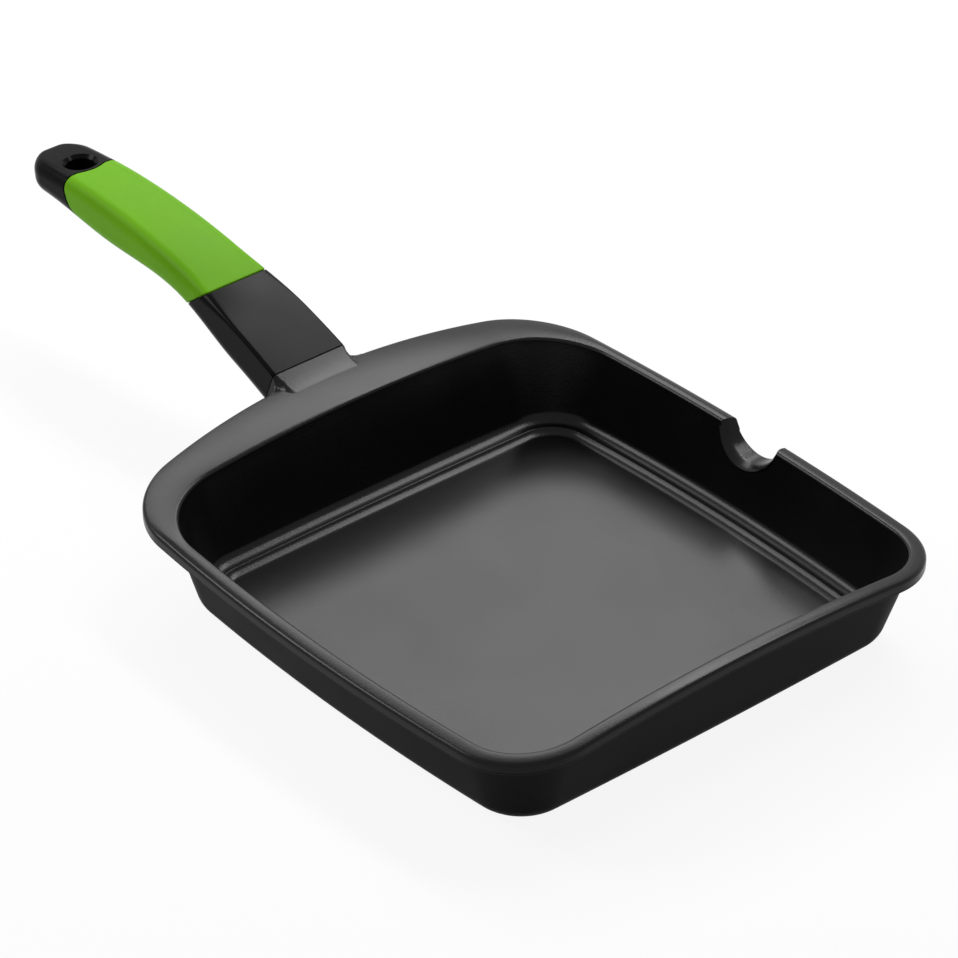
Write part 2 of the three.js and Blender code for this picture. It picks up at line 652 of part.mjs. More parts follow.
const handle = new THREE.Group();
handle.applyMatrix4(handlePlace);
handle.add(
  solidMesh('handle_core', handleCore(), 0x2a2a2c, 0.28, 0),
  solidMesh('grip_sleeve', gripSleeve(), 0x6aa51e, 0.55, 0),
  solidMesh('handle_screw', handleScrew(), 0xb9bcc0, 0.35, 1),
  solidMesh('spring_washer', springWasher(), 0x8f9296, 0.4, 1),
  solidMesh('flat_washer', flatWasher, 0xb0b3b7, 0.35, 1),
  solidMesh('threaded_insert', insert, 0xb8963e, 0.35, 1),
);

const pan = new THREE.Group();
pan.add(
  solidMesh('pan_body', panBody(), 0x3a3a3b, 0.6, 0.2),
  named('induction_base', inlayGeometry(0, INLAY_THICK), 0xa9acae, 0.4, 1),
  handle,
);

export default pan;
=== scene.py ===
# %% [markdown]
# # A square cast pan with a soft grip
# The pan is a thin-walled aluminium casting under a dark sprayed coating. Its handle is a black
# moulding with a green silicone sleeve set into it. The frame already holds every piece as a solid,
# in metres, standing on the ground with the handle towards -Y. This file dresses that frame: it
# draws the three pieces that the eye rests on again as fine surfaces, and gives every piece a finish.

# %% Load the frame
import bpy
import numpy as np
from mathutils import Matrix, Vector


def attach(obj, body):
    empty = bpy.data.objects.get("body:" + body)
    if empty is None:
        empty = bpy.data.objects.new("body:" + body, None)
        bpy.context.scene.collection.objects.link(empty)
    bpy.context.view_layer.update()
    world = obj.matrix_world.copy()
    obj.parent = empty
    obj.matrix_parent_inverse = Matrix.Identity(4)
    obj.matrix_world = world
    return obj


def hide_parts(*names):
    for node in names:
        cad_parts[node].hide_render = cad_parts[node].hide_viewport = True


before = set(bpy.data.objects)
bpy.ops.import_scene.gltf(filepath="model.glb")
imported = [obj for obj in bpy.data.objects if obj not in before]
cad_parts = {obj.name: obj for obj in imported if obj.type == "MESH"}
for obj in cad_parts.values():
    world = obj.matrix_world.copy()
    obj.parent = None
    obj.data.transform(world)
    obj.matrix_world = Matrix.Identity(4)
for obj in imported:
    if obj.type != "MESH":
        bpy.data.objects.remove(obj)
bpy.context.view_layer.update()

MM = 0.001
print("pieces in the frame:", ", ".join(sorted(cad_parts)))

# %% [markdown]
# ## From a grid of points to a skin
# A casting, a moulding and a sleeve can all be drawn as a stack of rings: walk round the piece for
# one ring, then step to the next. Blender needs points and faces, and a grid of rings gives both as
# whole arrays, so no point is placed by hand. All sizes are written in millimetres and turned to
# metres once, when a piece is made.

# %% Skins and pieces
def skin(rings, looped=False):
    """Closed surface over rings given as (row, point round the row, xyz).

    Each point makes a quad with its neighbour in the row and the two next to them in the next row.
    A looped stack joins its last row to its first. An open one is closed by a fan at each end."""
    rows, count = rings.shape[:2]
    here = np.arange(rows * count).reshape(rows, count)
    lower, upper = (here, np.roll(here, -1, axis=0)) if looped else (here[:-1], here[1:])
    quads = np.stack([lower, np.roll(lower, -1, 1), np.roll(upper, -1, 1), upper], axis=-1)
    points, fans = rings.reshape(-1, 3), np.empty((0, 3), int)
    if not looped:
        first, last = np.full(count, len(points)), np.full(count, len(points) + 1)
        start = np.stack([np.roll(here[0], -1), here[0], first], axis=-1)
        end = np.stack([here[-1], np.roll(here[-1], -1), last], axis=-1)
        points = np.vstack([points, rings[0].mean(axis=0), rings[-1].mean(axis=0)])
        fans = np.vstack([start, end])
    return points, quads.reshape(-1, 4), fans


def in_scene(name, data):
    """A new object of that data, in the scene."""
    made = bpy.data.objects.new(name, data)
    bpy.context.scene.collection.objects.link(made)
    return made


def piece(name, *skins):
    """One object from closed skins in millimetres, at the origin, with its place in its mesh."""
    starts = np.cumsum([0] + [len(points) for points, _, _ in skins])
    faces = []
    for start, (_, quads, fans) in zip(starts, skins):
        faces += (quads + start).tolist() + (fans + start).tolist()
    mesh = bpy.data.meshes.new(name)
    mesh.from_pydata(np.vstack([points for points, _, _ in skins]) * MM, [], faces)
    return in_scene(name, mesh)


print("skins and pieces are made from rings, in units of", MM, "m")

# %% [markdown]
# ## The outline of the pan
# Seen from above the pan is a square with slightly bowed sides and round corners. Four arcs make the
# sides, and each corner is a smaller arc that touches two of them from inside. Its middle is then
# at a known distance from the middles of both big arcs, which is the crossing of two circles. The
# same function serves for the base, the wall, the rim and the wide flange that carries the handle.

# %% Outlines
END_STEPS, CORNER_STEPS, SIDE_STEPS = 44, 34, 150
around = 2 * (2 * END_STEPS + 2 * CORNER_STEPS + SIDE_STEPS)


def corner_centre(side_x, side_bow, end_y, end_bow, corner):
    """Middle of a corner round: the crossing of two circles round the middles of the side's arc and
    the end's arc, each with its arc's radius less the corner's, on the +X side."""
    reach, apart = side_bow - corner, np.hypot(side_x, end_y)
    along = (reach**2 - (end_bow - corner) ** 2 + apart**2) / (2 * apart)
    aside = np.sqrt(reach**2 - along**2)
    to_x, to_y = -side_x / apart, end_y / apart
    x = side_x + to_x * along + np.abs(to_y) * aside
    y = to_y * along - np.sign(to_y) * to_x * aside
    return x, y


def bowed_square(half_width, front, back, side_bow, front_bow, back_bow, front_corner, back_corner):
    """Rows of points round a bowed square, one row for each value in the sizes.

    A point of an arc is its middle plus its radius times (cosine, sine) of an angle. The arcs of the
    right half follow each other from the back to the front, and the left half mirrors them."""
    sizes = (half_width, front, back, side_bow, front_bow, back_bow, front_corner, back_corner)
    sizes = np.broadcast_arrays(*(np.atleast_1d(np.asarray(v, float)) for v in sizes))
    half_width, front, back, side_bow, front_bow, back_bow, front_corner, back_corner = (
        v[:, None] for v in sizes
    )
    side_x, front_y, back_y = half_width - side_bow, front - front_bow, back_bow - back
    fx, fy = corner_centre(side_x, side_bow, front_y, front_bow, front_corner)
    bx, by = corner_centre(side_x, side_bow, back_y, back_bow, back_corner)
    back_turn, side_start = np.arctan2(by - back_y, bx), np.arctan2(by, bx - side_x)
    side_end, front_turn = np.arctan2(fy, fx - side_x), np.arctan2(fy - front_y, fx)
    up = np.full_like(front, np.pi / 2)
    arcs = [
        (0 * back, back_y, back_bow, -up, back_turn, END_STEPS),
        (bx, by, back_corner, back_turn, side_start, CORNER_STEPS),
        (side_x, 0 * front, side_bow, side_start, side_end, SIDE_STEPS),
        (fx, fy, front_corner, side_end, front_turn, CORNER_STEPS),
        (0 * front, front_y, front_bow, front_turn, up, END_STEPS),
    ]
    right = []
    for x, y, radius, start, stop, steps in arcs:
        angle = start + (stop - start) * np.arange(steps) / steps
        right.append(np.stack([x + radius * np.cos(angle), y + radius * np.sin(angle)], axis=-1))
    right.append(np.stack([0 * front, front], axis=-1))
    right = np.concatenate(right, axis=1)
    return np.concatenate([right, right[:, -2:0:-1] * (-1, 1)], axis=1)


print("each ring of the pan has", around, "points")

# %% [markdown]
# ## The casting
# The pan is poured as one piece: base, wall, rim and floor. It could be a box with bevels, but its
# rim is not level: it arches up from the two sides to the middle of the back and front, and its
# wall leans out all the way. So a profile is carried round the outline, and each of its rows takes
# its outline and height from the wall's lean and the rim's arch.

# %% Sizes of the casting
OPENING_WIDTH, OPENING_LENGTH = 228.6, 233
FRONT_CORNER, BACK_CORNER = 28, 35
SIDE_BOW, END_BOW = 1150, 4500
RIM_HEIGHT_SIDE, RIM_RISE, RIM_WIDTH, RIM_BAND, RIM_COVE = 38.6, 9.6, 7.5, 5.8, 4
RIM_OUTER_ROUND, RIM_INNER_ROUND = 1.6, 1.8
FLANGE_REACH, FLANGE_BOW, FLANGE_CORNER = 27.5, 414, 41
BASE_SIZE, BASE_FRONT_CORNER, BASE_BACK_CORNER = 198, 13.5, 17
BASE_ROUND, BASE_ROUND_SWEEP = 10, np.radians(72)
WALL, FLOOR = 4, 4.6
FIT = 0.3                       # gap between pieces that fit together

rim_half = OPENING_WIDTH / 2 + RIM_WIDTH
rim_top = RIM_HEIGHT_SIDE + RIM_RISE
rim_arch = (rim_half**2 + RIM_RISE**2) / (2 * RIM_RISE)
foot_height = BASE_ROUND * (1 - np.cos(BASE_ROUND_SWEEP))
foot_spread = BASE_ROUND * np.sin(BASE_ROUND_SWEEP)
wall_rise = RIM_HEIGHT_SIDE - foot_height
wall_lean = (OPENING_WIDTH / 2 + WALL - BASE_SIZE / 2 - foot_spread) / wall_rise
print("rim height, mm:", RIM_HEIGHT_SIDE, "at the sides and", rim_top, "in the middle")

# %% Rim and wall
def rim_height(x):
    """Height of the rim: an arc across the pan, highest in the middle."""
    return rim_top - rim_arch + np.sqrt(rim_arch**2 - x**2)


def rim_outline(inset):
    """The rim's outer edge with the handle's flange behind it, moved in by an inset."""
    inset = np.asarray(inset, float)
    front, back = OPENING_LENGTH / 2 + RIM_WIDTH, OPENING_LENGTH / 2 + FLANGE_REACH
    return bowed_square(
        rim_half - inset, front - inset, back - inset,
        SIDE_BOW + RIM_WIDTH - inset, END_BOW + RIM_WIDTH - inset, FLANGE_BOW - inset,
        FRONT_CORNER + RIM_WIDTH - inset, FLANGE_CORNER - inset,
    )


def wall_share(height):
    """How far up the wall a height is: 0 where the base's round ends, 1 at the rim."""
    return (height - foot_height) / wall_rise


def wall_outline(share, inset):
    """The wall's outer face at a share of its height, moved in by an inset. Each size runs straight
    from its value at the foot to its value at the rim."""
    share, inset = np.asarray(share, float), np.asarray(inset, float)

    def grown(foot, top):
        return foot + foot_spread + (top + WALL - foot - foot_spread) * share - inset

    length = grown(BASE_SIZE / 2, OPENING_LENGTH / 2)
    return bowed_square(
        grown(BASE_SIZE / 2, OPENING_WIDTH / 2), length, length,
        SIDE_BOW - inset, END_BOW - inset, END_BOW - inset,
        grown(BASE_FRONT_CORNER, FRONT_CORNER), grown(BASE_BACK_CORNER, BACK_CORNER),
    )


print("the wall leans out", round(wall_lean, 3), "mm for each mm up")

# %% Rings
def level(outlines, heights):
    """Rings at constant heights, one height for each outline."""
    heights = np.broadcast_to(np.reshape(heights, (-1, 1, 1)), outlines.shape[:2] + (1,))
    return np.concatenate([outlines, heights], axis=2)


def arched(outlines, drops):
    """Rings that follow the rim's arch, each its drop below it."""
    heights = rim_height(outlines[..., :1]) - np.reshape(drops, (-1, 1, 1))
    return np.concatenate([outlines, heights], axis=2)


def between(start, end, shares):
    """Rings on straight lines from one ring to another, at shares of the way."""
    return start + (end - start) * np.reshape(shares, (-1, 1, 1))


def inner_shares(count):
    """Even shares of a way, without its two ends."""
    return np.linspace(0, 1, count)[1:-1]


def quarter(start, stop, steps):
    """Angles of a round, from degrees to radians, both ends included."""
    return np.radians(np.linspace(start, stop, steps))


def pulled(radius, turn):
    """How far a round is pulled in across and down: its radius less its radius times (cosine, sine)."""
    return radius * (1 - np.cos(turn)), radius * (1 - np.sin(turn))


print("the rim's arch has a radius of", round(rim_arch), "mm")

# %% [markdown]
# ## Outside of the casting
# The profile starts in the seat for the steel inlay, turns up through the base's round and climbs
# the wall. Under the rim it flares through a hollow cove, which leaves the wall along its lean and
# meets the rim's band level. A quadratic curve does both: it is pulled towards the corner where
# those two lines would cross.

# %% Outside rings
INLAY_MARGIN, INLAY_CORNER, INLAY_THICK, INLAY_BOW = 13, 14, 1.2, 1e5
RIM_DOME = 6                    # degrees by which the rim's top leans at its two edges
BASE_ROWS, WALL_ROWS, COVE_ROWS, BAND_LOW_ROWS, BAND_HIGH_ROWS = 14, 12, 12, 7, 8

seat_half, seat_corner = BASE_SIZE / 2 - INLAY_MARGIN + FIT, INLAY_CORNER + FIT
seat = bowed_square(
    seat_half, seat_half, seat_half, INLAY_BOW, INLAY_BOW, INLAY_BOW, seat_corner, seat_corner
)
turn = np.linspace(0, BASE_ROUND_SWEEP, BASE_ROWS)
base = level(
    wall_outline(0, foot_spread - BASE_ROUND * np.sin(turn)), BASE_ROUND * (1 - np.cos(turn))
)
way = np.linspace(0, 1, COVE_ROWS)
cove_foot = wall_outline(wall_share(RIM_HEIGHT_SIDE - RIM_BAND - RIM_COVE), 0)
cove_corner = wall_outline(wall_share(RIM_HEIGHT_SIDE - RIM_BAND), 0)
cove_side = between(cove_foot, cove_corner, way)
cove_roof = between(cove_corner, rim_outline(RIM_OUTER_ROUND), way)
cove = arched(
    cove_side + (cove_roof - cove_side) * np.reshape(way, (-1, 1, 1)), RIM_BAND + RIM_COVE * (1 - way) ** 2
)
across, up = pulled(RIM_OUTER_ROUND, quarter(90, 0, BAND_LOW_ROWS))
band_low = arched(rim_outline(across), RIM_BAND - up)
across, down = pulled(RIM_OUTER_ROUND, quarter(0, 90 - RIM_DOME, BAND_HIGH_ROWS))
band_high = arched(rim_outline(across), down)
outside = [
    level(seat, INLAY_THICK + FIT), level(seat, 0), base,
    between(base[-1], cove[0], inner_shares(WALL_ROWS)), cove, band_low[1:], band_high,
]
outer_rows = sum(map(len, outside)) - len(band_high)
print("casting:", sum(map(len, outside)), "rows outside")

# %% [markdown]
# ## Inside of the casting
# The rim's top is a little domed, as a cast and coated edge is, so that it mirrors a lamp as a soft
# band and not as a flat patch. Then the profile turns down into the mouth, follows the wall to a
# narrow ledge and goes over a rounded step to the floor. The rounds of ledge and step show as two
# thin light lines. A few last rows and a fan close the floor in its middle.

# %% Inside rings
WALL_FOOT_ROUND = 5.5
LEDGE_WIDTH, LEDGE_HEIGHT, LEDGE_ROUND, STEP_ROUND = 1, 2.2, 0.5, 5.3
FLANGE_DOME = 0.4               # the dome's height where the rim widens into the flange
LAND_ROWS, MOUTH_ROWS, FOOT_ROWS, LEDGE_ROWS, STEP_ROWS = 11, 9, 12, 6, 12
FLOOR_SHARES = 0.01, 0.1, 0.3, 0.5, 0.7, 0.9

across, down = pulled(RIM_INNER_ROUND, quarter(90 - RIM_DOME, 0, MOUTH_ROWS))
mouth = arched(wall_outline(1, WALL - across), down)
way = inner_shares(LAND_ROWS)
rim_land = between(band_high[-1], mouth[0], way)
rim_dome = np.tan(np.radians(RIM_DOME)) * np.linalg.norm(mouth[0] - band_high[-1], axis=1) / 4
rim_land[..., 2] += np.minimum(rim_dome, FLANGE_DOME) * (4 * way * (1 - way))[:, None]

wall_tilt = np.pi / 2 - np.arctan(wall_lean)
ledge_top = FLOOR + LEDGE_HEIGHT
foot_share = wall_share(ledge_top + WALL_FOOT_ROUND * (1 - np.cos(wall_tilt)))
ledge_edge = WALL + WALL_FOOT_ROUND * np.sin(wall_tilt) + LEDGE_WIDTH
step_tilt = np.arccos(1 - LEDGE_HEIGHT / (LEDGE_ROUND + STEP_ROUND))
step_foot = ledge_edge + (LEDGE_ROUND + STEP_ROUND) * np.sin(step_tilt)
turn = np.linspace(wall_tilt, 0, FOOT_ROWS)
foot = level(
    wall_outline(foot_share, WALL + WALL_FOOT_ROUND * (np.sin(wall_tilt) - np.sin(turn))),
    ledge_top + WALL_FOOT_ROUND * (1 - np.cos(turn)),
)
turn = np.linspace(0, step_tilt, LEDGE_ROWS)[:-1]
ledge = level(
    wall_outline(foot_share, ledge_edge + LEDGE_ROUND * np.sin(turn)),
    ledge_top - LEDGE_ROUND * (1 - np.cos(turn)),
)
turn = np.linspace(step_tilt, 0, STEP_ROWS)
step = level(
    wall_outline(foot_share, step_foot - STEP_ROUND * np.sin(turn)),
    FLOOR + STEP_ROUND * (1 - np.cos(turn)),
)
middle = np.zeros((around, 3)) + (0, 0, FLOOR)
inside = [
    rim_land, mouth, between(mouth[-1], foot[0], inner_shares(WALL_ROWS)),
    foot, ledge, step, between(step[-1], middle, FLOOR_SHARES),
]
casting = piece("pan_casting", skin(np.concatenate(outside + inside)))
print("casting:", sum(map(len, inside)), "rows inside")

# %% [markdown]
# ## The pour notch
# A round dip is milled through the rim on the left side, and its inner edge is softened. The tool is
# a turned shape lying on its side, leaning with the wall, and a Boolean cuts it out of the casting.
# The faces remember by number which of two coatings they get, and the cut keeps those numbers.

# %% Notch tool
NOTCH_RADIUS, NOTCH_DEPTH, NOTCH_AT, NOTCH_ROUND = 16, 11.2, 1.4, 7
WAY_OUT = 20                    # how far a tool goes on past what it cuts
TURN_STEPS, NOTCH_ROWS = 128, 12
notch_height = RIM_HEIGHT_SIDE - NOTCH_DEPTH + NOTCH_RADIUS
notch_edge = -OPENING_WIDTH / 2 - wall_lean * (RIM_HEIGHT_SIDE - notch_height)


def turned(profile):
    """Rings of a turned shape: each (radius, height) of the profile goes once round Z."""
    radius, height = np.array(profile, float).T
    angle = 2 * np.pi * np.arange(TURN_STEPS) / TURN_STEPS
    x, y = np.outer(radius, np.cos(angle)), np.outer(radius, np.sin(angle))
    return np.stack([x, y, np.outer(height, np.ones_like(angle))], axis=-1)


growing, shrinking = pulled(NOTCH_ROUND, quarter(0, 90, NOTCH_ROWS))
tool = turned([
    (NOTCH_RADIUS + NOTCH_ROUND, -WAY_OUT), (NOTCH_RADIUS + NOTCH_ROUND, -NOTCH_ROUND / 2),
    *zip(NOTCH_RADIUS + shrinking, growing), (NOTCH_RADIUS, WAY_OUT),
])
tool_x, tool_y, tool_z = np.moveaxis(tool, -1, 0)
notch_tool = np.stack([
    notch_edge - tool_z - wall_lean * tool_x, NOTCH_AT + tool_y, notch_height + tool_x,
], axis=-1)
print("notch,", NOTCH_DEPTH, "mm deep at the side")

# %% Cut the notch
def carve(body, *tools):
    """Cuts the solid of each tool out of a body, and keeps what is left as the body's mesh."""
    for tool in tools:
        cut = body.modifiers.new("cut", "BOOLEAN")
        cut.operation, cut.solver, cut.object = "DIFFERENCE", "EXACT", tool
        shown = body.evaluated_get(bpy.context.evaluated_depsgraph_get())
        whole, left = body.data, bpy.data.meshes.new_from_object(shown)
        body.modifiers.clear()
        body.data = left
        bpy.data.meshes.remove(whole)
        bpy.data.objects.remove(tool)


COATED_INSIDE, COATED_OUTSIDE = 0, 1
for _ in (COATED_INSIDE, COATED_OUTSIDE):
    casting.data.materials.append(None)
coats = np.full(len(casting.data.polygons), COATED_INSIDE, np.int32)
coats[: (outer_rows - 1) * around] = COATED_OUTSIDE
casting.data.polygons.foreach_set("material_index", coats)
carve(casting, piece("notch_tool", skin(notch_tool)))
print("casting with its notch:", len(casting.data.polygons), "faces")

# %% [markdown]
# ## The lip under the notch
# Where the notch cuts the rim away, the rim's band carries on below it as a lip. It is a bar bent
# along an arc: its section follows the notch's soft inner edge, comes over a small round to the
# face of the band, and goes back into the wall. It could be joined to the casting by a Boolean, but
# as a skin of its own that overlaps the metal it leaves both meshes clean.

# %% Lip
LIP_SWEEP = np.radians(68)      # to each side of straight down, ending inside the rim's band
LIP_HAIR = 0.02                 # the lip's face lies this far behind the cut, so that they don't flicker
LIP_STEP = 0.06                 # and its front lies this far behind the band
LIP_ROUND = 0.9
LIP_START = 0.35                # share of the notch's round where it starts, inside the wall
BEND_STEPS, LIP_ROWS, LIP_ROUND_ROWS = 60, 9, 7

bend = np.linspace(-LIP_SWEEP, LIP_SWEEP, BEND_STEPS)[:, None]
depth = np.linspace(LIP_START, 1, LIP_ROWS)
growing, shrinking = pulled(LIP_ROUND, quarter(0, 90, LIP_ROUND_ROWS))
lip_inner, lip_outer = NOTCH_RADIUS + LIP_HAIR, NOTCH_RADIUS + RIM_BAND
lip_radius = np.concatenate([
    lip_inner + NOTCH_ROUND * (1 - np.sqrt(1 - (1 - depth) ** 2)),
    lip_inner + growing, lip_outer - shrinking, [lip_outer],
])
lip_y = NOTCH_AT + lip_radius * np.sin(bend)
lip_z = notch_height - lip_radius * np.cos(bend)
lip_face = LIP_STEP - rim_half + lip_y**2 / (2 * (SIDE_BOW + RIM_WIDTH))
lip_x = lip_face + np.concatenate([0 * depth, shrinking, growing, [0]])
lip_x[:, :LIP_ROWS] = (
    notch_edge - NOTCH_ROUND * depth + wall_lean * (notch_height - lip_z[:, :LIP_ROWS])
)
lip_x[:, -1] = WALL / 2 - BASE_SIZE / 2 - foot_spread - wall_lean * (lip_z[:, -1] - foot_height)
lip = piece("notch_lip", skin(np.stack([lip_x, lip_y, lip_z], axis=-1)))
print("lip,", RIM_BAND, "mm wide below the notch")

# %% [markdown]
# ## The handle's line and section
# The top of the handle is one long arc that leaves the pan rising and levels out at the tail. A
# station along it is an angle of that arc. At each station the section is a box with four rounded
# edges and a slightly domed top, and its sizes ease from the square neck to the round tail. Two
# numbers, the station and the place round the section, give every point of the handle, so the
# moulding, its sleeve and the metal stub can all be drawn with the same function and will fit.

# %% Handle sizes
HANDLE_LENGTH, HANDLE_RADIUS, HANDLE_RISE = 187.5, 371, np.radians(21.8)
STUB_REACH, STUB_LIFT = 3.4, 4.2
NECK_HALF_WIDTH, TAIL_HALF_WIDTH = 19.3, 14.5
NECK_THICK, WAIST_THICK, BELLY_THICK, TAIL_THICK = 20.5, 15.6, 19.9, 15
NECK_END, WAIST_AT, BELLY_AT = 26, 72, 126
NECK_EDGE, GRIP_EDGE, UNDER_EDGE, GRIP_CROWN = 1.6, 5.5, 7, 1
TAIL_PLAN_ROUND, TAIL_TOP_ROUND, TAIL_UNDER_ROUND = 14, 4.5, 7
HOLE_FROM_END, HOLE_DIAMETER, HOLE_BEVEL, HOLE_COLLAR = 24.5, 13, 1.6, 1.4
hole_at = HANDLE_LENGTH - HOLE_FROM_END
collar = HOLE_DIAMETER / 2 + HOLE_BEVEL + HOLE_COLLAR
joint_y = -(OPENING_LENGTH / 2 + FLANGE_REACH + STUB_REACH)
joint_z = rim_top + STUB_LIFT
print("joint at", joint_y, joint_z, "mm; hang hole at station", hole_at)

# %% Points round a section
EDGE_STEPS, FLANK_STEPS, TOP_STEPS, UNDER_STEPS = 12, 14, 30, 18
stretches = [
    # across from, to; height from, to; angle from, to; steps
    (1, 1, 0, 0, -90, 0, EDGE_STEPS),
    (1, 1, 0, 1, 0, 0, FLANK_STEPS),
    (1, 1, 1, 1, 0, 90, EDGE_STEPS),
    (1, -1, 1, 1, 90, 90, TOP_STEPS),
    (-1, -1, 1, 1, 90, 180, EDGE_STEPS),
    (-1, -1, 1, 0, 180, 180, FLANK_STEPS),
    (-1, -1, 0, 0, 180, 270, EDGE_STEPS),
    (-1, 1, 0, 0, 270, 270, UNDER_STEPS),
]


def round_section(start, stop):
    """One value for each point round the section: even steps between two columns of the stretches."""
    return np.concatenate([
        row[start] + (row[stop] - row[start]) * np.arange(row[-1]) / row[-1] for row in stretches
    ])


ACROSS, HEIGHT, ANGLE = round_section(0, 1), round_section(2, 3), np.radians(round_section(4, 5))
print("each section of the handle has", len(ACROSS), "points")

# %% Easing and outline
FULLEST_ROUND = 0.9             # a corner takes at most this share of half a section, so flats never vanish


def smooth(part):
    """A share from 0 to 1, eased at both ends: three times its square less twice its cube."""
    return part**2 * (3 - 2 * part)


def eased(station, *stops):
    """Values that ease from one (station, value) stop to the next and are level at each."""
    at, value = np.array(stops, float).T
    k = np.clip(np.searchsorted(at, station) - 1, 0, len(at) - 2)
    part = np.clip((station - at[k]) / (at[k + 1] - at[k]), 0, 1)
    return value[k] + (value[k + 1] - value[k]) * smooth(part)


def outline(half, top, under, edge, under_edge, dome):
    """Points round a section. A corner point is the corner's middle plus its round times (cosine, sine);
    flats join the corners, and the dome lifts the top by one less the square of the way to its edge."""
    high = (top - under) / 2
    widest = FULLEST_ROUND * np.minimum(high, half)
    top_round, low_round = np.minimum(edge, widest), np.minimum(under_edge, widest)
    rounding = np.where(HEIGHT > 0.5, top_round, low_round)
    x = ACROSS * (half - rounding) + rounding * np.cos(ANGLE)
    above = (1 - HEIGHT) * (under + low_round) + HEIGHT * (top - top_round) + rounding * np.sin(ANGLE)
    part = np.clip((above - top) / edge + 1, 0, 1)
    return x, above + dome * np.maximum(0, 1 - (x / half) ** 2) * smooth(part)


print("half way, an eased share is", smooth(0.5))

# %% The handle's section
def tail_pull(station, rounding):
    """How far a round at the tail's end has pulled in: its radius less the height of a circle there."""
    past = np.maximum(0, station - (HANDLE_LENGTH - rounding))
    return rounding - np.sqrt(np.maximum(0, rounding**2 - past**2))


def section(station, inset):
    """The handle's section at a station, moved in by an inset."""
    taper = NECK_HALF_WIDTH + (TAIL_HALF_WIDTH - NECK_HALF_WIDTH) * station / HANDLE_LENGTH
    thick = eased(
        station,
        (NECK_END, NECK_THICK), (WAIST_AT, WAIST_THICK), (BELLY_AT, BELLY_THICK), (HANDLE_LENGTH, TAIL_THICK),
    )
    dome = eased(
        station, (NECK_END, 0), (WAIST_AT, GRIP_CROWN), (hole_at - 2 * collar, GRIP_CROWN), (hole_at, 0)
    )
    return outline(
        taper - tail_pull(station, TAIL_PLAN_ROUND) - inset,
        -tail_pull(station, TAIL_TOP_ROUND) - inset,
        tail_pull(station, TAIL_UNDER_ROUND) - thick + inset,
        np.maximum(eased(station, (NECK_END, NECK_EDGE), (WAIST_AT, GRIP_EDGE)) - inset, NECK_EDGE),
        UNDER_EDGE - inset,
        dome,
    )


print("sections taper from", 2 * NECK_HALF_WIDTH, "to", 2 * TAIL_HALF_WIDTH, "mm")

# %% Places on the handle
def tilted(x, along, up):
    """Place of a point of the handle's frame: turned up by the rise and moved to the joint."""
    y = joint_y + along * np.cos(HANDLE_RISE) + up * np.sin(HANDLE_RISE)
    z = joint_z - along * np.sin(HANDLE_RISE) + up * np.cos(HANDLE_RISE)
    return np.stack(np.broadcast_arrays(x, y, z), axis=-1)


def on_handle(station, inset):
    """Rings of the handle: the station is an angle of the top line's arc, and a height adds to its radius."""
    x, above = section(station, inset)
    turn = station / HANDLE_RADIUS
    radius = HANDLE_RADIUS + above
    return tilted(x, -radius * np.sin(turn), radius * np.cos(turn) - HANDLE_RADIUS)


print("handle rises at", round(np.degrees(HANDLE_RISE), 1), "degrees from the joint")

# %% [markdown]
# ## The stub
# Behind the flange the casting runs out into a stub that the handle's neck butts against. A saddle
# of metal sweeps up from the flange to the neck's top edge, so that the pan seems to flow into the
# handle, and in plan it ends in rounds that touch the flange's edge. Under it is a square stub, and
# a flat tongue goes on into the handle, where a screw holds it. Sections on a path draw them all.

# %% Stub and tongue
TONGUE_WIDTH, TONGUE_THICK, TONGUE_LENGTH, TONGUE_DEPTH, TONGUE_EDGE = 22, 8, 30, 8.5, 0.6
STUB_RAMP, STUB_FLARE = 4.6, 5.5
STUB_INTO_WALL = 1.5            # where it starts, inside the wall's thickness
STUB_ROWS = 16
flange_height = rim_height(NECK_HALF_WIDTH + STUB_FLARE)
ramp = joint_z - flange_height - STUB_RAMP * np.sin(HANDLE_RISE)
tongue_top, tongue_under = TONGUE_THICK / 2 - TONGUE_DEPTH, -TONGUE_THICK / 2 - TONGUE_DEPTH


def stub_rings(under):
    """Sections from the wall to the joint: the top falls along a ramp and the underside stays level."""
    part = np.linspace(1, 0, STUB_ROWS)[:, None]
    along = FIT + (STUB_RAMP - FIT) * part
    slope = under + along * np.tan(HANDLE_RISE)
    x, above = outline(NECK_HALF_WIDTH, -ramp * part, slope, NECK_EDGE, UNDER_EDGE, 0)
    high, low = flange_height - RIM_BAND / 2, joint_z + under * np.cos(HANDLE_RISE)
    root_x, root_z = outline(NECK_HALF_WIDTH, high, low, NECK_EDGE, UNDER_EDGE, 0)
    root_y = -OPENING_LENGTH / 2 - STUB_INTO_WALL
    root = np.stack(np.broadcast_arrays(root_x, root_y, root_z), axis=-1)
    return np.concatenate([root[None], tilted(x, along, above)])


tongue_x, tongue_above = outline(
    TONGUE_WIDTH / 2, tongue_top, tongue_under, TONGUE_EDGE, TONGUE_EDGE, 0
)
tongue = tilted(tongue_x, np.array([[FIT], [-TONGUE_LENGTH]]), tongue_above)
stub_skin = skin(np.concatenate([stub_rings(-NECK_THICK), tongue]))
print("stub with a tongue of", TONGUE_LENGTH, "mm")

# %% Saddle
SADDLE_SWEEP = 16               # how far in from the joint it starts
SADDLE_DIP = 0.3                # how far its rims dip into the flange
SADDLE_FALL, SADDLE_SPREAD = 1.2, 5      # width of its falling sides at the joint, and what the flange adds
SADDLE_ROWS, SADDLE_FLARE_ROWS, SADDLE_STEPS = 24, 18, 91
saddle_radius = (SADDLE_SWEEP**2 + STUB_LIFT**2) / (2 * STUB_LIFT)


